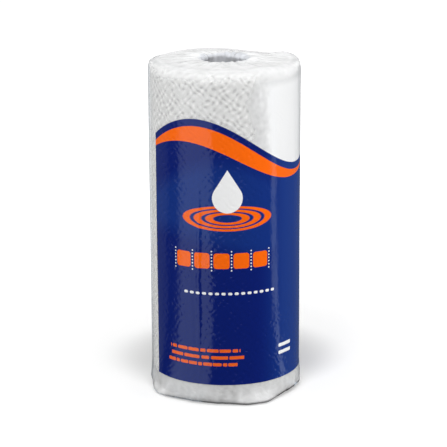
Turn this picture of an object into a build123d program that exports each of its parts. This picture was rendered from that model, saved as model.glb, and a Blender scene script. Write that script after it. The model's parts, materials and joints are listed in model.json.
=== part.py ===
from build123d import *
import os
from itertools import pairwise
from math import cos, sin, sqrt, tau

# Paper towel roll in its film wrap, standing on one end.
# Millimetres, +Z up, origin on the floor under the roll's axis, front of the wrap towards -Y.

# Wound paper
sheet_width = 279.4  # width of the towel, so the height of the roll
roll_diameter = 124.9  # over the outermost turn
turn_step = 0.6  # thickness of one embossed turn, the step at the loose end
tail_angle = 150.0  # where the loose end of the sheet lies, in degrees from +X
drawn_pitch = 8.4  # spacing of the turns that are cut into the two ends
drawn_width = 0.5
drawn_depth = 0.6
end_margin = 3.0  # plain paper inside and outside the drawn turns

# Cardboard core
core_bore = 41.0
core_wall = 0.8

# Film wrap
film = 0.3
film_gap = 0.25  # air between the film and the paper or the core
top_shoulder = 10.0  # reach of the soft curve over the upper rim
base_shoulder = 6.0  # the same at the floor, pressed tighter by the weight
shoulder_bands = 3  # straight bands that follow a shoulder's curve
flat_rim = 3.0  # smooth film between a shoulder and the pleats
tuck_depth = 36.0  # film pushed into each end of the core
mouth_landing = 0.8  # smooth film between the pleats and the crease over the core's rim
seam_width = 12.0  # overlap of the lengthwise seal
seam_angle = 90.0  # where the seal runs, in degrees from +X

# Pleats that gather the film towards the core
pleat_count = 20
top_pleat = 3.6  # tallest crest over the upper end
base_pleat = 0.8  # deepest fold under the lower end, pressed nearly flat
low_crest = 0.5  # lowest crest as a share of the tallest
crest_lean = 0.64  # where a crest lies between its two valleys
pleat_wander = 0.35  # unevenness of the spacing, as a share of one pleat
crest_line = [(0.0, 0.0), (0.45, 0.5), (0.85, 1.0), (1.0, 0.0)]  # share of the way in, of the height
uneven_step = 0.618034  # golden ratio, so that the spread never repeats round the roll

# Places that follow from the sizes
roll_radius = roll_diameter / 2
bore_radius = core_bore / 2
core_radius = bore_radius + core_wall
film_radius = roll_radius + film_gap + film
tuck_radius = bore_radius - film_gap
tuck_bore = tuck_radius - film
mouth_bevel = film_gap + film * (2 - sqrt(2))
mouth_radius = tuck_bore + mouth_bevel + mouth_landing
roll_base = film + base_pleat + film_gap
roll_top = roll_base + sheet_width
film_top = roll_top + film_gap + film


def shoulder(radius, level, reach):
    """Points of a soft curve from the side to the end face; a negative reach turns it downwards."""
    steps = [band / shoulder_bands for band in range(shoulder_bands + 1)]
    return [(radius - abs(reach) * s**2, level - reach * (1 - s) ** 2) for s in steps]


def drum(radius, low, high, turn=360.0):
    """Solid of revolution about Z with the two shoulders of the roll."""
    lower = reversed(shoulder(radius, low, -base_shoulder))
    upper = shoulder(radius, high, top_shoulder)
    outline = Polygon((0, low), *lower, *upper, (0, high), align=None)
    return revolve(Plane.XZ * outline, Axis.Z, turn)


def uneven(number):
    """A repeatable spread of values from 0 to 1, with no two neighbours alike."""
    return number * uneven_step % 1.0


def core_tube():
    tube = Circle(core_radius) - Circle(bore_radius)
    return Pos(0, 0, roll_base) * extrude(tube, sheet_width)


def turn_lines():
    """Half circles about two centres in turn, which make one spiral line."""
    outer = roll_radius - max(top_shoulder, base_shoulder) - end_margin
    halves = int(2 * (outer - core_radius - end_margin) / drawn_pitch)
    lines = []
    for half in range(halves):
        radius = outer - half * drawn_pitch / 2
        if half % 2:
            lines.append(CenterArc((-drawn_pitch / 2, 0), radius, 180, 180))
        else:
            lines.append(CenterArc((0, 0), radius, 0, 180))
    return lines


def towel_roll():
    """The wound sheet as one solid, whose two-centred outline steps in at the loose end."""
    last_half = drum(roll_radius, roll_base, roll_top, turn=180)
    half_before = drum(roll_radius - turn_step / 2, roll_base, roll_top, turn=180)
    roll = last_half + Pos(-turn_step / 2, 0) * Rot(0, 0, 180) * half_before
    roll -= Pos(0, 0, roll_base) * extrude(Circle(core_radius), sheet_width)
    drawn_turns = extrude(trace(turn_lines(), drawn_width), drawn_depth)
    roll -= Pos(0, 0, roll_base) * drawn_turns
    roll -= Pos(0, 0, roll_top - drawn_depth) * drawn_turns
    return Rot(0, 0, tail_angle) * roll


def pleat_spokes():
    """Angle and height share of each valley and crest, in order round the roll."""
    spokes = []
    for pleat in range(pleat_count):
        valley = pleat + pleat_wander * uneven(pleat)
        next_valley = pleat + 1 + pleat_wander * uneven((pleat + 1) % pleat_count)
        crest = valley + crest_lean * (next_valley - valley)
        height = low_crest + (1 - low_crest) * uneven(3 * pleat)
        spokes += [(valley * tau / pleat_count, 0.0), (crest * tau / pleat_count, height)]
    return spokes


def pleat_outline(radius):
    """Polygon through the spokes at one radius, where the pleats start or end."""
    return Polygon(*[(radius * cos(a), radius * sin(a)) for a, _ in pleat_spokes()], align=None)


def pleated_ring(outer, inner, crest):
    """Film folded into creased pleats, flat along both outlines, with its upper side at z = 0."""
    rings = []
    for way, rise in crest_line:
        radius = outer + way * (inner - outer)
        rings.append([Vector(radius * cos(a), radius * sin(a), crest * rise * h) for a, h in pleat_spokes()])
    facets = []
    for ring, next_ring in pairwise(rings):
        for i in range(len(ring)):
            facets.append([ring[i - 1], ring[i], next_ring[i]])
            facets.append([ring[i - 1], next_ring[i], next_ring[i - 1]])
    down = Vector(0, 0, -film)
    facets += [[corner + down for corner in facet] for facet in facets]
    for ring in (rings[0], rings[-1]):
        facets += [[ring[i - 1], ring[i], ring[i] + down, ring[i - 1] + down] for i in range(len(ring))]
    return Solid(Shell([Face(Wire.make_polygon(facet)) for facet in facets]))


def film_end(outer, crest):
    """One end of the film: pleats, the rounded mouth and the sleeve tucked into the core."""
    flange_width = mouth_radius + mouth_landing - tuck_bore
    flange = Pos(tuck_bore + flange_width / 2, -film / 2) * Rectangle(flange_width, film)
    sleeve = Pos(tuck_bore + film / 2, -tuck_depth / 2) * Rectangle(film, tuck_depth)
    section = flange + sleeve
    section = chamfer(section.vertices().sort_by_distance((tuck_bore, 0))[0], mouth_bevel)
    section = chamfer(section.vertices().sort_by_distance((tuck_radius, -film))[0], film_gap)
    tuck = revolve(Plane.XZ * section, Axis.Z)
    tuck &= extrude(pleat_outline(mouth_radius), -tuck_depth)
    return tuck + pleated_ring(outer, mouth_radius, crest)


def film_wrap():
    """One sleeve of film, gathered over both ends and sealed along one lengthwise seam."""
    wrap = drum(film_radius, 0, film_top) - drum(film_radius - film, film, film_top - film)
    top_gather = film_radius - top_shoulder - flat_rim
    base_gather = film_radius - base_shoulder - flat_rim
    wrap -= Pos(0, 0, film_top - film) * extrude(pleat_outline(top_gather), film)
    wrap -= extrude(pleat_outline(base_gather), film)
    wrap += Pos(0, 0, film_top) * film_end(top_gather, top_pleat)
    wrap += mirror(film_end(base_gather, -base_pleat), Plane.XY)
    seam_height = film_top - base_shoulder - top_shoulder
    seam = Circle(film_radius + film) - Circle(film_radius)
    seam &= Pos(film_radius, 0) * Rectangle(film_radius, seam_width)
    wrap += Rot(0, 0, seam_angle) * Pos(0, 0, base_shoulder) * extrude(seam, seam_height)
    return wrap


os.makedirs("parts", exist_ok=True)
for node in (core_tube, towel_roll, film_wrap):
    export_step(node(), f"parts/{node.__name__}.step")
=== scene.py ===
import json
from math import atan2, cos, hypot, pi, radians, sin, tau

import bmesh
import bpy
from mathutils import Matrix, Vector, noise


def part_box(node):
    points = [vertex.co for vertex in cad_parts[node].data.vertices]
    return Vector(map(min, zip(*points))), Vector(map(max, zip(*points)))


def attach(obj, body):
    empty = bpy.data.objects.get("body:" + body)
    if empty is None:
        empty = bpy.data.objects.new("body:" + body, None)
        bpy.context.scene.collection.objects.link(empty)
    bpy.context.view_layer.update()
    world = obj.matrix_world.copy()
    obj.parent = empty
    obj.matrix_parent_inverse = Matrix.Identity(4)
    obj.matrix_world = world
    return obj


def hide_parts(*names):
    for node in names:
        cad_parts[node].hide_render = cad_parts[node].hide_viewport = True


# Paper towel roll in its printed film wrap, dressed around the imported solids.
# Metres, +Z up, the front of the wrap towards -Y. Angles round the roll count from the front to the right.
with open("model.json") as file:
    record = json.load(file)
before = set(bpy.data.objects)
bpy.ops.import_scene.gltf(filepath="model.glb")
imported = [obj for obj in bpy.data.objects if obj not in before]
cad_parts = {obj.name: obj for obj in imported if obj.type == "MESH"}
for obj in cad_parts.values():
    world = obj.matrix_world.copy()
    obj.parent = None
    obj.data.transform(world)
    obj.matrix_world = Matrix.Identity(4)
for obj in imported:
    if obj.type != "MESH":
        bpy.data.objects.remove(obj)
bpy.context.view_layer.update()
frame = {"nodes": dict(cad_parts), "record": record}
scene = bpy.context.scene
mm = 0.001

towelLow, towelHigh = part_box("towel_roll")
filmLow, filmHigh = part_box("film_wrap")
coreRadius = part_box("core_tube")[1].x
mounts = {mount["name"]: mount for mount in frame["record"]["mounts"]}
tuckRadius = mounts["core_bore"]["dims"]["r_mm"] * mm
filmRadius = filmHigh.x
filmGap = 0.55 * mm  # from the paper to the outside of the film
filmTop = towelHigh.z + filmGap
towelRadius = filmRadius - filmGap
rollMiddle = Vector((0, 0, (towelLow.z + towelHigh.z) / 2))
# the same places in millimetres, for the folds and the print
filmReach, filmLevel = filmRadius / mm, filmTop / mm
towelReach, towelLevel = towelRadius / mm, towelHigh.z / mm
tuckReach = tuckRadius / mm
print("frame: film radius %.1f mm, film top %.1f mm" % (filmReach, filmLevel))


# Small helpers for shapes
def ease(low, high, value):
    t = min(max((value - low) / (high - low), 0.0), 1.0)
    return t * t * (3 - 2 * t)


def bell(value, centre, spread):
    t = (value - centre) / spread
    return (1 - t * t) ** 2 if abs(t) < 1 else 0.0


def turnGap(angle, degrees):
    # turn from a place that is given in degrees, half a turn at most either way
    return (angle - radians(degrees) + pi) % tau - pi


def bellRound(angle, degrees, spread):
    return bell(turnGap(angle, degrees), 0.0, radians(spread))


def wander(angle, level, fine, tall, seed):
    # smooth value from 0 to 1 that closes on itself round the roll
    return 0.5 + 0.5 * noise.noise(Vector((fine * sin(angle) + seed, -fine * cos(angle), level / tall)))


def rollSpot(vert):
    # angle from the front, reach from the axis and height, both in millimetres, and the way outwards
    x, y, z = vert.co
    reach = hypot(x, y)
    return atan2(x, -y), reach / mm, z / mm, Vector((x / reach, y / reach, 0))


def wireProfile(bm, corners, closed=False):
    # corners are radius, height, rounding and the number of segments of the rounding
    points = [bm.verts.new((radius, 0, height)) for radius, height, _, _ in corners]
    pairs = list(zip(points, points[1:]))
    if closed:
        pairs.append((points[-1], points[0]))
    for pair in pairs:
        bm.edges.new(pair)
    for point, (_, _, rounding, segments) in zip(points, corners):
        if segments:
            bmesh.ops.bevel(bm, geom=[point], offset=rounding, offset_type="OFFSET", segments=segments,
                            profile=0.5, affect="VERTICES", material=-1)


def cutRuns(bm, stepFor):
    # long straight runs get rows, as many as stepFor asks for at their middle
    for edge in bm.edges[:]:
        first, last = edge.verts
        upright = abs(first.co.z - last.co.z) > abs(first.co.x - last.co.x)
        cuts = round(edge.calc_length() / stepFor((first.co + last.co) / 2, upright)) - 1
        if cuts > 0:
            bmesh.ops.subdivide_edges(bm, edges=[edge], cuts=cuts)


def spinRound(bm, columns):
    bmesh.ops.spin(bm, geom=bm.verts[:] + bm.edges[:], cent=(0, 0, 0), axis=(0, 0, 1), angle=tau,
                   steps=columns, use_merge=True)
    bmesh.ops.recalc_face_normals(bm, faces=bm.faces[:])
    widest = max(bm.faces, key=lambda face: hypot(*face.calc_center_median().xy))
    if widest.normal.dot(widest.calc_center_median() * Vector((1, 1, 0))) < 0:
        bmesh.ops.reverse_faces(bm, faces=bm.faces[:])
    bm.normal_update()


def addPiece(bm, name, node):
    mesh = bpy.data.meshes.new(name)
    bm.to_mesh(mesh)
    bm.free()
    mesh.shade_smooth()
    piece = bpy.data.objects.new(name, mesh)
    scene.collection.objects.link(piece)
    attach(piece, "root")
    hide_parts(node)
    print("%s: %d faces" % (name, len(mesh.polygons)))
    return piece


# Small helpers for materials
def connect(tree, value, socket):
    if isinstance(value, bpy.types.NodeSocket):
        tree.links.new(value, socket)
    else:
        socket.default_value = value


def calc(tree, operation, *values, clamp=False):
    node = tree.nodes.new("ShaderNodeMath")
    node.operation = operation
    node.use_clamp = clamp
    for value, socket in zip(values, node.inputs):
        connect(tree, value, socket)
    return node.outputs[0]


def chain(tree, operation, values):
    result = values[0]
    for value in values[1:]:
        result = calc(tree, operation, result, value)
    return result


def times(tree, *values):
    return chain(tree, "MULTIPLY", values)


def total(tree, *values):
    return chain(tree, "ADD", values)


def largest(tree, *values):
    return chain(tree, "MAXIMUM", values)


def less(tree, value, amount):
    return calc(tree, "SUBTRACT", value, amount)


def size(tree, value):
    return calc(tree, "ABSOLUTE", value)


def size2(tree, a, b):
    return calc(tree, "SQRT", total(tree, times(tree, a, a), times(tree, b, b)))


def scaled(tree, value, factor, start):
    return calc(tree, "MULTIPLY_ADD", value, factor, start)


def shift(tree, low, high, mask):
    # goes from low to high as the mask goes from 0 to 1
    return scaled(tree, mask, high - low, low)


def paint(tree, under, over, mask):
    node = tree.nodes.new("ShaderNodeMix")
    node.data_type = "RGBA"
    connect(tree, mask, node.inputs[0])
    connect(tree, under, node.inputs[6])
    connect(tree, over, node.inputs[7])
    return node.outputs[2]


def rampUp(tree, value, low, high):
    # soft step from 0 at low to 1 at high
    node = tree.nodes.new("ShaderNodeMapRange")
    node.interpolation_type = "SMOOTHSTEP"
    node.inputs["From Min"].default_value = low
    node.inputs["From Max"].default_value = high
    connect(tree, value, node.inputs["Value"])
    return node.outputs["Result"]


def rampDown(tree, value, low, high):
    return less(tree, 1.0, rampUp(tree, value, low, high))


def within(tree, distance, soft=0.35):
    # 1 where the distance is under 0, with a soft edge
    return calc(tree, "MULTIPLY_ADD", distance, -1 / soft, 0.5, clamp=True)


def apart(tree, value, pitch):
    # distance to the nearest of a row of places
    return calc(tree, "PINGPONG", value, pitch / 2)


def boxed(tree, x, y, halfX, halfY, corner):
    # distance to a box with rounded corners
    acrossX = largest(tree, less(tree, size(tree, x), halfX - corner), 0.0)
    acrossY = largest(tree, less(tree, size(tree, y), halfY - corner), 0.0)
    return less(tree, size2(tree, acrossX, acrossY), corner)


def noiseAt(tree, vector, scale, detail=3.0, roughness=0.55):
    node = tree.nodes.new("ShaderNodeTexNoise")
    node.inputs["Detail"].default_value = detail
    node.inputs["Roughness"].default_value = roughness
    connect(tree, scale, node.inputs["Scale"])
    connect(tree, vector, node.inputs["Vector"])
    return node.outputs["Fac"]


def ridgesAt(tree, vector, scale, detail=2.0):
    # sharp crests where the noise passes its middle
    away = size(tree, scaled(tree, noiseAt(tree, vector, scale, detail), 4.0, -2.0))
    return calc(tree, "SUBTRACT", 1.0, away, clamp=True)


def stretched(tree, vector, scale, turn=(0, 0, 0)):
    node = tree.nodes.new("ShaderNodeMapping")
    node.inputs["Scale"].default_value = scale
    node.inputs["Rotation"].default_value = turn
    connect(tree, vector, node.inputs["Vector"])
    return node.outputs["Vector"]


def bumpFrom(tree, height):
    # height in millimetres
    node = tree.nodes.new("ShaderNodeBump")
    node.inputs["Strength"].default_value = 1.0
    node.inputs["Distance"].default_value = mm
    connect(tree, height, node.inputs["Height"])
    return node.outputs["Normal"]


def objectPlace(tree):
    return tree.nodes.new("ShaderNodeTexCoord").outputs["Object"]


def objectParts(tree):
    split = tree.nodes.new("ShaderNodeSeparateXYZ")
    tree.links.new(objectPlace(tree), split.inputs[0])
    return split.outputs


def newGroup(name, inputs, outputs):
    tree = bpy.data.node_groups.new(name, "ShaderNodeTree")
    for label in inputs:
        tree.interface.new_socket(label, in_out="INPUT", socket_type="NodeSocketFloat")
    for label in outputs:
        tree.interface.new_socket(label, in_out="OUTPUT", socket_type="NodeSocketFloat")
    return tree, tree.nodes.new("NodeGroupInput"), tree.nodes.new("NodeGroupOutput")


def useGroup(tree, group, **values):
    node = tree.nodes.new("ShaderNodeGroup")
    node.node_tree = group
    for label, value in values.items():
        connect(tree, value, node.inputs[label])
    return node.outputs


def newMaterial(name):
    material = bpy.data.materials.new(name)
    material.use_nodes = True
    tree = material.node_tree
    return material, tree, tree.nodes["Principled BSDF"]


def dress(piece, material):
    piece.data.materials.clear()
    piece.data.materials.append(material)


# Place on the roll in millimetres: round from the front, up from the floor, out from the axis
def makeRollPlace():
    tree, _, out = newGroup("rollPlace", [], ["Around", "Height", "Reach"])
    x, y, z = objectParts(tree)
    angle = calc(tree, "ARCTAN2", x, times(tree, y, -1))
    connect(tree, times(tree, angle, filmReach), out.inputs["Around"])
    connect(tree, times(tree, z, 1 / mm), out.inputs["Height"])
    connect(tree, times(tree, size2(tree, x, y), 1 / mm), out.inputs["Reach"])
    return tree


# Embossing of the towel: staggered dimples with lower crests between them
dotLook = {
    "round": 54,  # dimples in one turn
    "rowStep": 3.6 * mm,
    "depth": 0.42 * mm,
    "crest": 0.6,  # height of a crest as a share of the depth
    "edge": (0.1, 1.0),  # where the wall of a dimple starts and ends, as shares of the wave
    # swings that keep the dimples out of line: millimetres, waves in one turn, waves in a metre of height
    "swingsRound": [(1.2, 7, 58), (0.65, 29, -41)],
    "swingsUp": [(1.1, 19, 23), (0.6, -24, 67)],
    # in the material some places are pressed harder: scale and range of the noise, and the most
    "pressScale": 150.0, "pressRange": (0.25, 0.7), "pressMost": 1.6,
}


def makeTowelDots(look):
    tree, given, out = newGroup("towelDots", ["Around", "Height"], ["Dots"])
    around, height = given.outputs["Around"], given.outputs["Height"]

    def swung(place, swings):
        for far, waves, climb in swings:
            turn = scaled(tree, height, climb * mm * tau, times(tree, around, waves / filmReach))
            place = scaled(tree, calc(tree, "SINE", turn), far, place)
        return place

    column = times(tree, swung(around, look["swingsRound"]), look["round"] / filmReach)
    row = times(tree, swung(height, look["swingsUp"]), pi * mm / look["rowStep"])
    wave = times(tree, calc(tree, "COSINE", column), calc(tree, "COSINE", row))
    dimples = rampUp(tree, wave, *look["edge"])
    crests = rampUp(tree, times(tree, wave, -1), *look["edge"])
    pressed = rampUp(tree, noiseAt(tree, objectPlace(tree), look["pressScale"], 1.0), *look["pressRange"])
    dots = less(tree, times(tree, crests, look["crest"]), dimples)
    connect(tree, times(tree, dots, pressed, look["pressMost"]), out.inputs["Dots"])
    return tree


def dotHeight(look, angle, height):
    # the same wave for the mesh
    def swing(swings):
        return sum(far * sin(height * climb * mm * tau + waves * angle) for far, waves, climb in swings)

    column = look["round"] * (angle + swing(look["swingsRound"]) / filmReach)
    row = pi * (height + swing(look["swingsUp"])) * mm / look["rowStep"]
    wave = cos(column) * cos(row)
    return look["crest"] * ease(*look["edge"], -wave) - ease(*look["edge"], wave)


# Matted fibres, for the paper and the board
def makeFibreGrain():
    tree, given, out = newGroup("fibreGrain", ["Scale", "Cloud"], ["Fibre", "Cloudy"])
    spot = objectPlace(tree)
    connect(tree, noiseAt(tree, spot, given.outputs["Scale"], 5.0, 0.7), out.inputs["Fibre"])
    connect(tree, noiseAt(tree, spot, given.outputs["Cloud"]), out.inputs["Cloudy"])
    return tree


rollPlace = makeRollPlace()
towelDots = makeTowelDots(dotLook)
fibreGrain = makeFibreGrain()

# Camera at the photograph's angle, aimed at the middle of the roll
cameraLook = {"distance": 1.64, "elevation": 15.3, "lens": 156.0, "roll": -0.23,
              "shiftX": -0.0034, "shiftY": -0.0033}


def addCamera(look):
    camera = bpy.data.objects.new("camera", bpy.data.cameras.new("camera"))
    scene.collection.objects.link(camera)
    lift = radians(look["elevation"])
    back = Vector((0, -cos(lift), sin(lift)))
    camera.location = rollMiddle + back * look["distance"]
    turn = (-back).to_track_quat("-Z", "Y").to_matrix() @ Matrix.Rotation(radians(look["roll"]), 3, "Z")
    camera.rotation_euler = turn.to_euler()
    camera.data.lens = look["lens"]
    camera.data.shift_x = look["shiftX"]
    camera.data.shift_y = look["shiftY"]
    scene.camera = camera
    print("camera: %.2f m away" % look["distance"])


addCamera(cameraLook)

# The soft roll has settled: its upper rim dips at the back on the right, and its lower edge is pressed up at
# the front on the right
settleLook = {
    "rim": (150, 52, -2.4), "foot": (66, 34, 0.8),  # degrees, half width and how far up in millimetres
    # where the settling starts and is whole, in millimetres from the axis, under the rim and above the floor
    "rimReach": (28, 52), "rimDown": 18,
    "footReach": (46, 62), "footUp": (2, 26),
}


def settle(angle, reach, height):
    look = settleLook
    nearRim = ease(*look["rimReach"], reach) * ease(towelLevel - look["rimDown"], towelLevel, height)
    nearFoot = ease(*look["footReach"], reach) * (1 - ease(*look["footUp"], height))
    rise = 0.0
    for near, (degrees, spread, far) in ((nearRim, look["rim"]), (nearFoot, look["foot"])):
        rise += far * near * bellRound(angle, degrees, spread)
    return rise


# Film wrap: one sleeve from inside the core's foot, up the roll and down into the core's mouth
filmLook = {
    "columns": 320,
    "skin": 0.12 * mm,
    "topShoulder": 10 * mm, "baseShoulder": 6 * mm, "mouthRound": 3 * mm,
    "tuckDepth": 36 * mm,
    "sideStep": 3.7 * mm, "topStep": 1.3 * mm, "baseStep": 2.6 * mm, "tuckStep": 4 * mm,
    "flat": (0.408, 0.436),  # the sheet before it is wrapped: round with its lap, and along with both tucks
    # from here on in millimetres, or shares
    "side": (-5, -1),  # where the side starts and is whole, from the film's radius
    "slack": 0.35, "ripple": 0.16, "crinkle": 0.08,
    "bulge": (-90, 190, 60, 170, 0.35),  # loose film: degrees, height, half width, half height, out
    "creaseSwing": 2.4,
    "seamWidth": 12.0, "seamRise": 0.3, "seamSoft": 0.6,
    # pleats of the ends
    "pleats": 20, "lowCrest": 0.45, "crestLean": 0.64, "pleatWander": 0.35, "unevenStep": 0.618034,
    "flanks": (1.4, 0.9),  # how hollow the two flanks of a pleat are
    "topPleat": 2.2, "topFolds": 0.6, "topSmall": 0.5, "basePleat": 0.5,
    "climb": (0, 0.8), "dip": (0.88, 1.2), "dipShare": 0.7,  # on the way in to the mouth
    "tuckPleat": 1.0, "tuckFrom": (0.05, 0.4), "tuckLoose": 0.5, "tuckRagged": 5,
    # gathers and crumples of the side close to the ends
    "topGather": (-40, -2), "topGatherFolds": 0.2, "topCrumple": 0.25,
    "baseGather": (4, 24), "baseGatherFolds": 0.3, "baseCrumple": 1.4,
    # the mouth, by reach and height
    "upper": (272, 279), "landing": 0.2, "landingAt": (21.5, 5), "lobeAt": (26, 8),
    "ragged": 1.8, "raggedAt": (20, 9), "raggedDown": (-16, -2),
    "humpReach": (40, 55), "humpUp": (268, 279),
    "lipReach": (-9, -5), "lipUp": 1.5,
}
# noises that the film follows: waves across the roll, millimetres of one wave up or inwards, seed
filmNoise = {
    "slack": (1.7, 95, 3.1), "ripple": (12, 110, 0.7), "crinkle": (22, 18, 7.7), "crumple": (13, 9, 5.5),
    "crease": (3, 28, 0.5), "topSmall": (9, 9, 2.2), "tuckEnd": (5, 1, 9.0), "gather": (10, 8, 1.3),
    "mouth": (6, 7, 8.8),
}
# crumpled patches of the side: degrees from the front, height, half width in degrees, half height, depth
filmCrumples = [
    (-54, 128, 15, 52, 0.4),
    (30, 22, 24, 26, 0.45),
    (-30, 262, 40, 16, 0.35),
    (140, 120, 40, 90, 0.2),
]
# creases: degrees from the front, lowest and highest point, half width, height, sideways lean over the length
filmCreases = [
    (-20, 12, 212, 2.6, 0.85, 1),
    (-26, 20, 150, 2.2, 0.3, -2),
    (26, 246, 277, 1.8, 0.5, -5),
    (31, 250, 272, 1.6, 0.35, -7),
    (22, 255, 276, 1.6, 0.3, 3),
    (33, 12, 44, 2.2, 0.25, 18),
    (22, 8, 36, 2.2, 0.25, 16),
    (-60, 60, 240, 2.4, 0.25, 2),
    (95, 30, 230, 2.4, 0.3, -3),
    (-120, 40, 250, 2.6, 0.3, 4),
]
# places where the film stands off the lower edge: degrees, half width, how far out and how far up it starts
baseLips = [(-58, 26, 5.4, 6), (24, 26, 6.6, 8), (78, 18, 1.6, 6), (150, 30, 3, 9)]
# and off the upper edge: degrees, half width, how far up
topHumps = [(112, 24, 2.8), (35, 16, 0.8), (-70, 20, 0.6)]
# corners where the film spans the upper rim: degrees, half width, share of the way to a square corner
topCorners = [(88, 30, 0.6), (-92, 40, 0.6), (176, 30, 0.4)]
# folds round the mouth: degrees, half width, how far up and how far over the core
mouthLobes = [
    (0, 60, 0.3, 0.6),
    (138, 50, 1.0, 5.0),
    (-118, 20, 1.3, 3.0),
    (176, 14, 0.8, 2.4),
    (78, 18, 1.0, 0),
]


def filmWander(kind, angle, level):
    return wander(angle, level, *filmNoise[kind])


def pleatSpokes(look):
    # valley, crest and next valley of each pleat as shares of a turn, and its height share
    def uneven(number):
        return number * look["unevenStep"] % 1.0

    count = look["pleats"]
    spokes = []
    for pleat in range(count):
        valley = pleat + look["pleatWander"] * uneven(pleat)
        nextValley = pleat + 1 + look["pleatWander"] * uneven((pleat + 1) % count)
        crest = valley + look["crestLean"] * (nextValley - valley)
        share = look["lowCrest"] + (1 - look["lowCrest"]) * uneven(3 * pleat)
        spokes.append((valley / count, crest / count, nextValley / count, share))
    return spokes


def pleatRise(look, angle, spokes):
    rising, falling = look["flanks"]
    turn = (angle - pi / 2) / tau % 1.0
    for valley, crest, nextValley, share in spokes:
        if valley <= turn < nextValley:
            if turn < crest:
                return share * ((turn - valley) / (crest - valley)) ** rising
            return share * ((nextValley - turn) / (nextValley - crest)) ** falling
    return 0.0


def sideRise(look, angle, height):
    # slack, upright ripples, crumpled patches, creases and the lap seal of the film's side
    rise = sum(look[kind] * filmWander(kind, angle, height) for kind in ("slack", "ripple", "crinkle"))
    degrees, middle, wide, tall, out = look["bulge"]
    rise += out * bellRound(angle, degrees, wide) * bell(height, middle, tall)
    for degrees, middle, wide, tall, depth in filmCrumples:
        near = bellRound(angle, degrees, wide) * bell(height, middle, tall)
        if near > 0:
            rise += depth * near * filmWander("crumple", angle, height)
    for degrees, low, high, width, tall, lean in filmCreases:
        along = (height - low) / (high - low)
        if 0 < along < 1:
            aside = turnGap(angle, degrees) * filmReach - lean * (along - 0.5)
            aside += look["creaseSwing"] * (filmWander("crease", radians(degrees), height) - 0.5)
            rise += tall * bell(aside, 0, width) * min(1.0, 4 * along * (1 - along))
    lap, lapEdge = abs(turnGap(angle, 180)) * filmReach, look["seamWidth"] / 2
    return rise + look["seamRise"] * (1 - ease(lapEdge - look["seamSoft"], lapEdge + look["seamSoft"], lap))


def endRise(look, angle, reach, folds, top):
    # pleats that climb towards the mouth and dip into it
    outer = (filmRadius - look["topShoulder" if top else "baseShoulder"]) / mm
    inner = (tuckRadius + look["mouthRound"]) / mm
    way = (outer - reach) / (outer - inner)
    climb = ease(*look["climb"], way) * (1 - look["dipShare"] * ease(*look["dip"], way))
    if not top:
        return look["basePleat"] * climb * folds
    small = filmWander("topSmall", angle, reach)
    return look["topPleat"] * climb * (look["topFolds"] * folds + look["topSmall"] * small)


def gatherRise(look, angle, height, folds, top):
    # gathers that run from the ends a little way along the side, and crumples close to them
    crease = filmWander("gather", angle, height)
    if top:
        start, end = look["topGather"]
        near = ease(filmLevel + start, filmLevel + end, height)
        return near * (look["topGatherFolds"] * folds + look["topCrumple"] * crease)
    near = 1 - ease(*look["baseGather"], height)
    return near * (look["baseGatherFolds"] * folds + look["baseCrumple"] * crease)


def topMove(look, angle, reach, height, outward):
    # ragged folds and lobes round the mouth, corners that span the rim, and humps on it
    upper = ease(*look["upper"], height)
    start, end = look["raggedDown"]
    rim = bell(reach, *look["raggedAt"]) * ease(filmLevel + start, filmLevel + end, height)
    move = Vector((0, 0, look["landing"] * mm * bell(reach, *look["landingAt"]) * upper))
    move -= outward * look["ragged"] * mm * rim * filmWander("mouth", angle, height)
    for degrees, wide, tall, over in mouthLobes:
        near = bellRound(angle, degrees, wide)
        move.z += tall * mm * near * bell(reach, *look["lobeAt"]) * upper
        move -= outward * over * mm * near * rim
    corner = look["topShoulder"] / mm
    out = 1 + (reach - filmReach) / corner
    up = 1 + (height - filmLevel) / corner
    if out > 0 and up > 0:
        span = sum(share * bellRound(angle, degrees, wide) for degrees, wide, share in topCorners)
        span *= corner * (1 / max(out, up) - 1) * mm
        move += outward * out * span
        move.z += up * span
    onRim = ease(*look["humpReach"], reach) * ease(*look["humpUp"], height)
    for degrees, wide, tall in topHumps:
        move.z += tall * mm * bellRound(angle, degrees, wide) * onRim
    return move


def baseMove(look, angle, reach, height, outward):
    # lips that stand off the lower edge
    start, end = look["lipReach"]
    foot = ease(filmReach + start, filmReach + end, reach)
    far = 0.0
    for degrees, wide, out, tall in baseLips:
        far += out * (1 - ease(look["lipUp"], tall, height)) * bellRound(angle, degrees, wide)
    return outward * far * foot * mm


def moveFilm(look, vert, spokes):
    angle, reach, height, outward = rollSpot(vert)
    top = height > filmLevel / 2
    start, end = look["side"]
    side = ease(filmReach + start, filmReach + end, reach)
    folds = pleatRise(look, angle, spokes)
    move = Vector((0, 0, settle(angle, reach, height) * mm))
    rise = side * (sideRise(look, angle, height) + gatherRise(look, angle, height, folds, top))
    if reach > tuckReach + 0.01:
        rise += (1 - side) * endRise(look, angle, reach, folds, top)
    else:
        deep = min(height, filmLevel - height) * mm / look["tuckDepth"]
        rise += look["tuckPleat"] * folds * ease(*look["tuckFrom"], deep)
        ragged = look["tuckRagged"] * max(deep - look["tuckLoose"], 0.0) * filmWander("tuckEnd", angle, 0.0)
        move.z += (ragged if top else -ragged) * mm
    move += vert.normal * max(rise, 0.0) * mm
    endMove = topMove if top else baseMove
    return move + endMove(look, angle, reach, height, outward)


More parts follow.
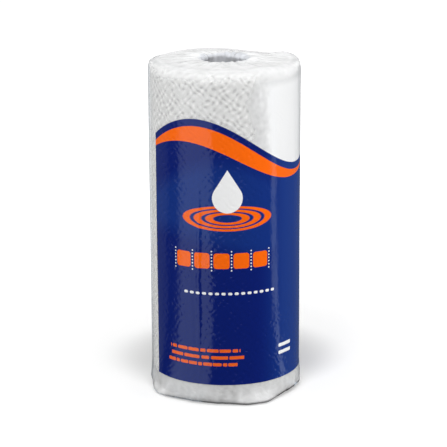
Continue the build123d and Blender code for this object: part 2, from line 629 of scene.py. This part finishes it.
def makeFilm(look):
    bm = bmesh.new()
    wireProfile(bm, [
        (tuckRadius, filmLow.z + look["tuckDepth"], 0, 0),
        (tuckRadius, filmLow.z, look["mouthRound"], 4),
        (filmRadius, filmLow.z, look["baseShoulder"], 6),
        (filmRadius, filmTop, look["topShoulder"], 9),
        (tuckRadius, filmTop, look["mouthRound"], 5),
        (tuckRadius, filmTop - look["tuckDepth"], 0, 0),
    ])

    def stepFor(middle, upright):
        if not upright:
            return look["topStep"] if middle.z > filmTop / 2 else look["baseStep"]
        return look["sideStep"] if middle.x > filmRadius / 2 else look["tuckStep"]

    cutRuns(bm, stepFor)
    spinRound(bm, look["columns"])
    spokes = pleatSpokes(look)
    moves = [moveFilm(look, vert, spokes) for vert in bm.verts]
    for vert, move in zip(bm.verts, moves):
        vert.co += move
        vert.co.z = max(vert.co.z, filmLow.z)
    piece = addPiece(bm, "filmWrap", "film_wrap")
    skin = piece.modifiers.new("skin", "SOLIDIFY")
    skin.thickness = look["skin"]
    skin.offset = -1
    return piece


filmWrap = makeFilm(filmLook)

# Wound paper: embossed outside, a step at the loose end
towelLook = {
    "columnsPerDot": 4, "rowsPerDot": 3, "endStep": 2.0 * mm, "boreStep": 0.1,
    "topShoulder": 10 * mm, "baseShoulder": 6 * mm,
    "turnStep": 0.6 * mm,
    "tail": -120.0,  # degrees from the front
    "telescope": 0.2 * mm, "telescopeWave": 2.5,  # how far turns stand back at the ends, and over how many mm
    "outside": (-8, -1), "ends": (-12, -8),  # where they start and stop, in millimetres from the radius
    "dullTone": (0.73, 0.73, 0.72, 1), "lightTone": (0.85, 0.85, 0.84, 1),
    # crests take a painted highlight and dimples a painted shade over the paper's tone
    "crestHighlightTone": (0.98, 0.98, 0.97, 1), "dimpleShadeTone": (0.57, 0.57, 0.56, 1), "crestSpread": 1.5,
    "turnTone": (0.62, 0.61, 0.59, 1), "turnPitch": 0.62, "turnShare": 0.9, "turnsWithin": 9,
    "fibreScale": 900.0, "cloudScale": 45.0,
    "dotBump": 0.28, "fibreBump": 0.1, "turnBump": -0.4,
    "roughness": 0.95, "gloss": 0.15,
}


def makeTowel(look):
    bm = bmesh.new()
    wireProfile(bm, [
        (coreRadius, towelLow.z, 0, 0),
        (towelRadius, towelLow.z, look["baseShoulder"], 5),
        (towelRadius, towelHigh.z, look["topShoulder"], 8),
        (coreRadius, towelHigh.z, 0, 0),
    ], closed=True)
    rowStep = dotLook["rowStep"] / look["rowsPerDot"]

    def stepFor(middle, upright):
        if not upright:
            return look["endStep"]
        return rowStep if middle.x > towelRadius / 2 else look["boreStep"]

    cutRuns(bm, stepFor)
    spinRound(bm, dotLook["round"] * look["columnsPerDot"])
    for vert in bm.verts:
        angle, reach, height, outward = rollSpot(vert)
        outside, ends = [ease(towelReach + start, towelReach + end, reach)
                         for start, end in (look["outside"], look["ends"])]
        share = turnGap(angle, look["tail"]) % tau / tau
        out = dotLook["depth"] * (dotHeight(dotLook, angle, height) - dotLook["crest"])
        out -= look["turnStep"] * (1 - share)
        back = abs(noise.noise(Vector((reach / look["telescopeWave"], 0.3, height / 100))))
        back *= (1 - ends) * look["telescope"]
        vert.co += outward * outside * out
        vert.co.z += (back if height < towelLevel / 2 else -back) + settle(angle, reach, height) * mm
    return addPiece(bm, "towelRoll", "towel_roll")


towelRoll = makeTowel(towelLook)

# Print on the film, in millimetres round from the front and up from the floor
printLook = {
    "left": -69.8, "right": 165.0, "bottom": 17.6,
    "waveMiddle": 221.5, "waveRise": 21.5, "waveCrest": -25.0, "waveLength": 200.0,
    "navy": (0.0036, 0.0130, 0.150, 1),
    # lighter navy of the swell and of the painted reflection to the right
    "lightNavyAndReflection": (0.0080, 0.0360, 0.2200, 1),
    "orange": (1.0, 0.147, 0.004, 1),
    "white": (0.92, 0.925, 0.93, 1),
    # edges that follow the wave: how far under it, how far along, share of its rise
    "swellOver": (34, -22, 0.9), "swellUnder": (84, 30, 0.5), "swellSoft": 16.0, "swellShare": 0.75,
    "ribbonOver": (6, 0, 1.0), "ribbonUnder": (15, 10, 0.8),
    "reflectionFrom": (25.0, 60.0),  # painted reflection: the blue grows lighter to the right
    "dropAt": (2.0, 178.0), "dropSize": 12.5, "dropPoint": 32.0,
    "ripples": [(15, 4.2), (25, 7.0), (35, 9.8)], "rippleDown": 17.0, "rippleLine": 0.9,
    "tilesAt": (-3.0, 125.0), "tile": 6.6, "tilePitch": 16.4, "tileCount": 5, "tileRound": 2.4,
    "holePitch": 2.7, "holeSize": 0.62,
    "dotLineAt": (4.0, 97.0), "dotLineHalf": 41.0, "dotPitch": 5.4,
    "dot": (1.7, 1.1, 1.0),  # half length, half height and rounding, as of a bar
    # rows of dashes: height, pitch, centre, half length
    "dashRows": [(47.5, 9.0, -19.0, 31.5), (41.5, 13.0, -17.0, 32.5), (35.5, 7.0, -21.5, 31.5)],
    "dashShare": 0.42, "dash": (1.4, 0.9), "dashInk": 0.9,  # half length in pitches, half height and rounding
    "dashWave": 4.1, "dashSwing": 0.2,  # uneven lengths, as shares of the pitch
    "barsAt": (57.0, 43.0), "bar": (8.0, 1.5, 0.8), "barGap": 6.4,
}


def waveLine(tree, around, drop=0.0, along=0.0, share=1.0):
    look = printLook
    turn = tau / look["waveLength"]
    wave = calc(tree, "COSINE", scaled(tree, around, turn, (along - look["waveCrest"]) * turn))
    return scaled(tree, wave, look["waveRise"] * share, look["waveMiddle"] - drop)


def betweenWaves(tree, around, height, over, under, *soft):
    above = less(tree, height, waveLine(tree, around, *over))
    below = less(tree, waveLine(tree, around, *under), height)
    return within(tree, largest(tree, above, below), *soft)


def printField(tree, around, height):
    look = printLook
    outside = largest(tree, less(tree, look["left"], around), less(tree, around, look["right"]),
                      less(tree, look["bottom"], height), less(tree, height, waveLine(tree, around)))
    return within(tree, outside)


def printBands(tree, colour, around, height):
    # a lighter swell and the swelling ribbon, both under the wave; the swell is print that also stands in for
    # brighter light high on the panel, and the lighter blue to the right is a painted reflection
    look = printLook
    swell = betweenWaves(tree, around, height, look["swellOver"], look["swellUnder"], look["swellSoft"])
    # lighter blue: the print's swell, partly painted light, and a painted reflection to the right
    light = largest(tree, times(tree, swell, look["swellShare"]), rampUp(tree, around, *look["reflectionFrom"]))
    colour = paint(tree, colour, look["lightNavyAndReflection"], light)
    ribbon = betweenWaves(tree, around, height, look["ribbonOver"], look["ribbonUnder"])
    return paint(tree, colour, look["orange"], ribbon)


def fromSpot(tree, around, height, spot):
    return less(tree, around, spot[0]), less(tree, height, spot[1])


def printDrop(tree, colour, around, height):
    # a plain drop over three ripples
    look = printLook
    x, y = fromSpot(tree, around, height, look["dropAt"])
    for halfX, halfY in look["ripples"]:
        level = times(tree, total(tree, y, look["rippleDown"]), 1 / halfY)
        ring = size2(tree, times(tree, x, 1 / halfX), level)
        ring = times(tree, size(tree, less(tree, ring, 1.0)), halfY)
        colour = paint(tree, colour, look["orange"], within(tree, less(tree, ring, look["rippleLine"])))
    belly, point = look["dropSize"], radians(look["dropPoint"])
    body = less(tree, size2(tree, x, y), belly)
    slope = scaled(tree, size(tree, x), cos(point), times(tree, y, sin(point)))
    tip = largest(tree, less(tree, slope, belly), less(tree, belly * sin(point), y))
    return paint(tree, colour, look["white"], within(tree, calc(tree, "MINIMUM", body, tip)))


def printTiles(tree, colour, around, height):
    # a row of tear-off squares with dotted lines between them
    look = printLook
    x, y = fromSpot(tree, around, height, look["tilesAt"])
    half, pitch = look["tile"], look["tilePitch"]
    rowHalf = pitch * look["tileCount"] / 2
    inRow = within(tree, less(tree, size(tree, x), rowHalf))
    tile = within(tree, boxed(tree, apart(tree, x, pitch), y, half, half, look["tileRound"]))
    colour = paint(tree, colour, look["orange"], times(tree, tile, inRow))
    between = apart(tree, total(tree, x, pitch / 2), pitch)
    hole = less(tree, size2(tree, between, apart(tree, y, look["holePitch"])), look["holeSize"])
    tall = within(tree, less(tree, size(tree, y), half + look["holePitch"]))
    wide = within(tree, less(tree, size(tree, x), rowHalf + look["holeSize"]))
    return paint(tree, colour, look["white"], times(tree, within(tree, hole), tall, wide))


def printSmallMarks(tree, colour, around, height):
    # a dotted line, rows of dashes and two bars
    look = printLook
    x, y = fromSpot(tree, around, height, look["dotLineAt"])
    dot = within(tree, boxed(tree, apart(tree, x, look["dotPitch"]), y, *look["dot"]))
    inRow = within(tree, less(tree, size(tree, x), look["dotLineHalf"]))
    colour = paint(tree, colour, look["white"], times(tree, dot, inRow))
    for level, pitch, centre, half in look["dashRows"]:
        x, y = fromSpot(tree, around, height, (centre, level))
        inRow = within(tree, less(tree, size(tree, x), half))
        swing = calc(tree, "SINE", times(tree, x, look["dashWave"] / pitch))
        uneven = scaled(tree, swing, pitch * look["dashSwing"], x)
        dash = boxed(tree, apart(tree, uneven, pitch), y, pitch * look["dashShare"], *look["dash"])
        colour = paint(tree, colour, look["orange"], times(tree, inRow, within(tree, dash), look["dashInk"]))
    x, y = fromSpot(tree, around, height, look["barsAt"])
    for rise in (-look["barGap"] / 2, look["barGap"] / 2):
        bar = within(tree, boxed(tree, x, less(tree, y, rise), *look["bar"]))
        colour = paint(tree, colour, look["white"], bar)
    return colour


# Finish of the film itself: clear over the paper, cloudy where it is bunched, white behind the print's right,
# with painted shade at its foot, inside the mouth and along its edges
filmFinish = {
    "edgeShadeTint": (0.52, 0.53, 0.54, 1),  # painted shade where the clear film is seen edge on
    "tuckShadeTint": (0.76, 0.78, 0.82, 1),  # bunched film inside the core, greyed and blued as painted shade inside the mouth
    "footGreyAndShadeTint": (0.73, 0.73, 0.73, 1), "contactShadowTint": (0.14, 0.14, 0.14, 1),  # grey round the foot, partly bunched film and partly painted shade, and a near-black painted contact shadow at the very foot
    # each zone from where it starts to where it is whole or over, in millimetres
    "side": (-9, -3), "rim": (-9, -5),  # from the film's radius
    "top": (-11, 6), "whiteTop": (-16, -4),  # from the film's top
    "base": (8, 24), "gathered": (200, 270),  # from the floor
    "whiteRound": (16, 42), "whiteUp": (60, 90), "whiteEnd": (-1, 1), "whiteLeft": 0.35,
    "tuckedOut": 1.5, "tuckedSoft": 3.0, "seamSoft": 0.6,
    "edgeOn": (0.56, 0.96), "edgeOnWhite": 0.45,  # shares of facing, and what is left over the white, for the edge-on opacity and the painted edge shade
    "shadowLiftFrom": (40, 60), "shadowLiftTo": (80, 96),  # the painted contact shadow reaches higher here
    "contactShadowUp": (2.0, 4.2), "contactShadowSoft": 2.0, "contactShadowReach": (50, 56), "contactShadowFrom": (-62, -44),
    "footShare": (0.9, 0.1),  # less of the foot's grey and painted shade where the film is milky
    "raggedScale": 65.0, "raggedSwing": 28.0,
    "milkScale": 55.0, "milkStretch": (1, 1, 0.5),
    "crinkleScale": 170.0, "crinkleStretch": (1, 1, 0.2), "crinkleTurn": (0.0, 0.06, 0.0),
    "looseScale": 130.0, "cloudScale": 60.0,
    # heights of the bumps in millimetres
    "dotBump": (0.09, 0.02), "crinkleBump": 0.03, "looseBump": 0.2, "sealBump": 0.12, "sealRib": 0.6,
    "roughness": (0.08, 0.2), "ior": 1.5, "gloss": 0.42,
}
# what each zone adds to the film's opacity, or makes of it
filmOpacity = {"clear": 0.18, "top": 0.2, "gathered": 0.3, "base": 0.3, "seam": 0.3, "milk": 0.15,
               "white": 0.95, "tucked": 0.62, "edgeOn": 0.22}


def fromEdge(edge, zone):
    return edge + zone[0], edge + zone[1]


def filmZones(tree, around, height, reach):
    # masks from 0 to 1
    look = filmFinish
    spot = objectPlace(tree)
    swing = look["raggedSwing"]
    ragged = scaled(tree, noiseAt(tree, spot, look["raggedScale"], 2.0), swing, -swing / 2)
    side = rampUp(tree, reach, *fromEdge(filmReach, look["side"]))
    top = rampUp(tree, total(tree, height, ragged), *fromEdge(filmLevel, look["top"]))
    base = rampDown(tree, height, *look["base"])
    gathered = times(tree, less(tree, 1.0, side), rampUp(tree, height, *look["gathered"]))
    lapEdge = pi * filmReach - filmLook["seamWidth"] / 2
    lap = within(tree, less(tree, lapEdge, size(tree, around)), look["seamSoft"])
    white = times(tree, rampUp(tree, total(tree, around, ragged), *look["whiteRound"]),
                  rampDown(tree, around, *fromEdge(printLook["right"], look["whiteEnd"])),
                  rampUp(tree, height, *look["whiteUp"]), side)
    fade = rampUp(tree, height, *fromEdge(filmLevel, look["whiteTop"]))
    white = times(tree, white, shift(tree, 1.0, look["whiteLeft"], fade))
    milk = ridgesAt(tree, stretched(tree, spot, look["milkStretch"]), look["milkScale"])
    tucked = within(tree, less(tree, reach, tuckReach + look["tuckedOut"]), look["tuckedSoft"])
    facing = tree.nodes.new("ShaderNodeLayerWeight").outputs["Facing"]
    edgeOn = times(tree, rampUp(tree, facing, *look["edgeOn"]), shift(tree, 1.0, look["edgeOnWhite"], white),
                   rampUp(tree, reach, *fromEdge(filmReach, look["rim"])))
    # painted contact shadow: a near-black band along the foot, taller where the foot is lifted, from just
    # left of the front round the right side to the back
    lifted = times(tree, rampUp(tree, around, *look["shadowLiftFrom"]), rampDown(tree, around, *look["shadowLiftTo"]))
    under = within(tree, less(tree, height, shift(tree, *look["contactShadowUp"], lifted)), look["contactShadowSoft"])
    under = times(tree, under, rampUp(tree, reach, *look["contactShadowReach"]))
    under = times(tree, under, rampUp(tree, around, *look["contactShadowFrom"]))
    return {"side": side, "top": top, "base": base, "gathered": gathered, "seam": times(tree, lap, side),
            "white": white, "milk": milk, "tucked": tucked, "edgeOn": edgeOn, "under": under}


def filmAlpha(tree, zones, field):
    alpha = filmOpacity["clear"]
    for zone in ("top", "gathered", "base", "seam"):
        alpha = scaled(tree, zones[zone], filmOpacity[zone], alpha)
    cloudy = times(tree, zones["milk"], largest(tree, zones["top"], zones["base"]))
    alpha = scaled(tree, cloudy, filmOpacity["milk"], alpha)
    alpha = scaled(tree, zones["white"], less(tree, filmOpacity["white"], alpha), alpha)
    alpha = largest(tree, alpha, times(tree, zones["tucked"], filmOpacity["tucked"]), field)
    return calc(tree, "MULTIPLY_ADD", zones["edgeOn"], filmOpacity["edgeOn"], alpha, clamp=True)


def filmTint(tree, zones):
    look = filmFinish
    # painted shade darkens the clear film where it is seen edge on
    tint = paint(tree, printLook["white"], look["edgeShadeTint"], zones["edgeOn"])
    # painted shade of the film inside the mouth
    tint = paint(tree, tint, look["tuckShadeTint"], zones["tucked"])
    # grey near the floor, partly bunched film and partly painted shade
    foot = times(tree, zones["base"], shift(tree, *look["footShare"], zones["milk"]))
    tint = paint(tree, tint, look["footGreyAndShadeTint"], foot)
    # painted contact shadow along the foot
    return paint(tree, tint, look["contactShadowTint"], zones["under"])


def filmBumps(tree, zones, around, height):
    # the film lies on the dots of the paper, with fine upright crinkles, and is crumpled at the ends
    look = filmFinish
    spot = objectPlace(tree)
    dots = useGroup(tree, towelDots, Around=around, Height=height)["Dots"]
    lying = times(tree, zones["side"], shift(tree, *look["dotBump"], zones["white"]))
    upright = stretched(tree, spot, look["crinkleStretch"], look["crinkleTurn"])
    crinkles = ridgesAt(tree, upright, look["crinkleScale"])
    bunched = largest(tree, less(tree, 1.0, zones["side"]), zones["top"], zones["base"])
    loose = times(tree, ridgesAt(tree, spot, look["looseScale"], 3.0), bunched)
    ribs = times(tree, calc(tree, "PINGPONG", height, look["sealRib"]), zones["seam"])
    bumps = times(tree, dots, lying)
    for relief, far in ((crinkles, "crinkleBump"), (loose, "looseBump"), (ribs, "sealBump")):
        bumps = scaled(tree, relief, look[far], bumps)
    return bumpFrom(tree, bumps)


def makeFilmMaterial(look):
    material, tree, shader = newMaterial("printedFilm")
    place = useGroup(tree, rollPlace)
    around, height, reach = place["Around"], place["Height"], place["Reach"]
    field = printField(tree, around, height)
    printed = printLook["navy"]
    for motif in (printBands, printDrop, printTiles, printSmallMarks):
        printed = motif(tree, printed, around, height)
    zones = filmZones(tree, around, height, reach)
    connect(tree, paint(tree, filmTint(tree, zones), printed, field), shader.inputs["Base Color"])
    connect(tree, filmAlpha(tree, zones, field), shader.inputs["Alpha"])
    connect(tree, filmBumps(tree, zones, around, height), shader.inputs["Normal"])
    cloudy = noiseAt(tree, objectPlace(tree), look["cloudScale"])
    connect(tree, shift(tree, *look["roughness"], cloudy), shader.inputs["Roughness"])
    shader.inputs["IOR"].default_value = look["ior"]
    shader.inputs["Specular IOR Level"].default_value = look["gloss"]
    return material


def makeTowelMaterial(look):
    material, tree, shader = newMaterial("towelPaper")
    place = useGroup(tree, rollPlace)
    grain = useGroup(tree, fibreGrain, Scale=look["fibreScale"], Cloud=look["cloudScale"])
    dots = useGroup(tree, towelDots, Around=place["Around"], Height=place["Height"])["Dots"]
    ends = within(tree, less(tree, place["Reach"], towelReach - look["turnsWithin"]), 2.0)
    spiral = times(tree, place["Reach"], 1 / look["turnPitch"])
    spiral = scaled(tree, place["Around"], -1 / (tau * filmReach), spiral)
    turns = times(tree, apart(tree, spiral, 1.0), ends)
    tone = paint(tree, look["dullTone"], look["lightTone"], grain["Cloudy"])
    # painted highlight on the crests and painted shade in the dimples
    crests = calc(tree, "MULTIPLY", dots, look["crestSpread"], clamp=True)
    tone = paint(tree, tone, look["crestHighlightTone"], crests)
    tone = paint(tree, tone, look["dimpleShadeTone"], times(tree, dots, -1))
    tone = paint(tree, tone, look["turnTone"], times(tree, turns, look["turnShare"]))
    connect(tree, tone, shader.inputs["Base Color"])
    bumps = times(tree, dots, look["dotBump"])
    bumps = scaled(tree, grain["Fibre"], look["fibreBump"], bumps)
    bumps = scaled(tree, turns, look["turnBump"], bumps)
    connect(tree, bumpFrom(tree, bumps), shader.inputs["Normal"])
    shader.inputs["Roughness"].default_value = look["roughness"]
    shader.inputs["Specular IOR Level"].default_value = look["gloss"]
    return material


# Board of the core, wound in a helix
boardLook = {
    "pitch": 62.0, "joint": 0.5,  # rise of the board in one turn and half width of its joint, in millimetres
    "darkTone": (0.36, 0.27, 0.18, 1), "lightTone": (0.50, 0.40, 0.29, 1), "cloudTone": (0.44, 0.34, 0.23, 1),
    "jointTone": (0.20, 0.15, 0.10, 1), "cloudShare": 0.6, "jointShare": 0.7,
    "fibreScale": 420.0, "cloudScale": 60.0, "fibreBump": 0.1, "jointBump": -0.2,
    "roughness": 0.9, "gloss": 0.2,
}


def makeCoreMaterial(look):
    material, tree, shader = newMaterial("coreBoard")
    place = useGroup(tree, rollPlace)
    grain = useGroup(tree, fibreGrain, Scale=look["fibreScale"], Cloud=look["cloudScale"])
    helix = scaled(tree, place["Around"], -look["pitch"] / (tau * filmReach), place["Height"])
    joint = within(tree, less(tree, apart(tree, helix, look["pitch"]), look["joint"]), 0.5)
    tone = paint(tree, look["darkTone"], look["lightTone"], grain["Fibre"])
    tone = paint(tree, tone, look["cloudTone"], times(tree, grain["Cloudy"], look["cloudShare"]))
    tone = paint(tree, tone, look["jointTone"], times(tree, joint, look["jointShare"]))
    connect(tree, tone, shader.inputs["Base Color"])
    bumps = scaled(tree, joint, look["jointBump"], times(tree, grain["Fibre"], look["fibreBump"]))
    connect(tree, bumpFrom(tree, bumps), shader.inputs["Normal"])
    shader.inputs["Roughness"].default_value = look["roughness"]
    shader.inputs["Specular IOR Level"].default_value = look["gloss"]
    return material


dress(filmWrap, makeFilmMaterial(filmFinish))
dress(towelRoll, makeTowelMaterial(towelLook))
dress(frame["nodes"]["core_tube"], makeCoreMaterial(boardLook))
print("materials: film, paper and board")

# Pale floor, white ground and soft studio light
studioLook = {
    "ambient": 0.22,
    "floorColour": (0.73, 0.73, 0.73, 1), "floorBounce": (0.18, 0.18, 0.18, 1),
    "floorSize": 8.0, "floorGap": 0.2 * mm,
    # the floor glows whiter away from a spot behind the roll, which paints the shape of the soft shadow round
    # its foot: from, to and strength
    "shadowSpotBehind": 0.072, "shadowFadeGlows": [(0.061, 0.115, 0.275), (0.12, 0.4, 0.6)],
    "darkTable": 0.03,
    "cardTint": (0.72, 0.86, 1.0, 1),
}
# name, degrees from the camera to the right, height, distance, width, depth, radiance
softLights = [
    ("topLight", 10, 1.2, 0.15, 0.9, 0.9, 2.6),
    ("frontLeft", -24, 0.86, 1.4, 0.6, 0.6, 7.7),
    ("frontRight", 28, 0.86, 1.4, 0.6, 0.6, 4.3),
    ("sideLeft", -84, 0.35, 1.2, 1.0, 0.7, 2.6),
    ("sideRight", 84, 0.26, 1.2, 1.0, 0.5, 6.2),
    ("backLeft", -145, 0.45, 1.3, 1.0, 0.8, 1.2),
    ("backRight", 150, 0.45, 1.3, 1.0, 0.8, 1.2),
]
# bounce cards that lie on the table and show only in gloss: from and to in degrees, the softness of both
# edges, strength
bounceCards = [
    (-70, -19, 16, 2, 1.2),
    (73, 80, 2, 4, 1.5),
    (84, 165, 10, 20, 0.12),
    (-168, -140, 10, 10, 0.5),
    (-128, -92, 6, 6, 0.2),
]


def cardGlow(tree, x, y):
    # the table as reflections see it: dark, with bright cards round the roll
    angle = calc(tree, "DEGREES", calc(tree, "ARCTAN2", x, times(tree, y, -1)))
    glow = studioLook["darkTable"]
    for start, end, softStart, softEnd, strength in bounceCards:
        card = times(tree, rampUp(tree, angle, start - softStart / 2, start + softStart / 2),
                     rampDown(tree, angle, end - softEnd / 2, end + softEnd / 2))
        glow = scaled(tree, card, strength, glow)
    return glow


def shadowShapeGlow(tree, x, y):
    # painted shadow: the glow is weakest at a spot behind the roll and grows to white away from it
    away = size2(tree, x, less(tree, y, studioLook["shadowSpotBehind"]))
    glow = 0.0
    for start, end, strength in studioLook["shadowFadeGlows"]:
        glow = scaled(tree, rampUp(tree, away, start, end), strength, glow)
    return glow


def makeFloorMaterial(look):
    material, tree, shader = newMaterial("paleFloor")
    light = tree.nodes.new("ShaderNodeLightPath").outputs
    gloss = light["Is Glossy Ray"]
    seen = largest(tree, light["Is Camera Ray"], light["Is Transmission Ray"])
    x, y, _ = objectParts(tree)
    pale = paint(tree, look["floorBounce"], look["floorColour"], seen)
    connect(tree, paint(tree, pale, (0, 0, 0, 1), gloss), shader.inputs["Base Color"])
    shader.inputs["Roughness"].default_value = 1.0
    shader.inputs["Specular IOR Level"].default_value = 0.0
    connect(tree, paint(tree, (1, 1, 1, 1), look["cardTint"], gloss), shader.inputs["Emission Color"])
    glow = scaled(tree, gloss, cardGlow(tree, x, y), times(tree, seen, shadowShapeGlow(tree, x, y)))
    connect(tree, glow, shader.inputs["Emission Strength"])
    return material


def addFloor(look):
    bm = bmesh.new()
    bmesh.ops.create_grid(bm, x_segments=1, y_segments=1, size=look["floorSize"] / 2)
    bmesh.ops.translate(bm, verts=bm.verts[:], vec=(0, 0, filmLow.z - look["floorGap"]))
    mesh = bpy.data.meshes.new("floor")
    bm.to_mesh(mesh)
    bm.free()
    floorPiece = bpy.data.objects.new("floor", mesh)
    scene.collection.objects.link(floorPiece)
    dress(floorPiece, makeFloorMaterial(look))


def addWorld(look):
    world = bpy.data.worlds.new("studio")
    scene.world = world
    world.use_nodes = True
    tree = world.node_tree
    ground = tree.nodes["Background"]
    light = tree.nodes.new("ShaderNodeLightPath").outputs
    seen = largest(tree, light["Is Camera Ray"], light["Is Glossy Ray"], light["Is Transmission Ray"])
    ground.inputs["Color"].default_value = (1, 1, 1, 1)
    connect(tree, shift(tree, look["ambient"], 1.0, seen), ground.inputs["Strength"])


def addLights():
    for name, side, up, away, width, depth, radiance in softLights:
        lamp = bpy.data.lights.new(name, "AREA")
        lamp.shape = "RECTANGLE"
        lamp.size = width
        lamp.size_y = depth
        lamp.energy = radiance * pi * width * depth
        holder = bpy.data.objects.new(name, lamp)
        scene.collection.objects.link(holder)
        turn = radians(side)
        holder.location = Vector((away * sin(turn), -away * cos(turn), up))
        holder.rotation_euler = (rollMiddle - holder.location).to_track_quat("-Z", "Y").to_euler()
        holder.visible_camera = False
        holder.visible_glossy = name.startswith(("top", "front"))  # the others would clip on the film


addFloor(studioLook)
addWorld(studioLook)
addLights()
scene.view_settings.view_transform = "Standard"
print("studio: %d lights" % len(softLights))
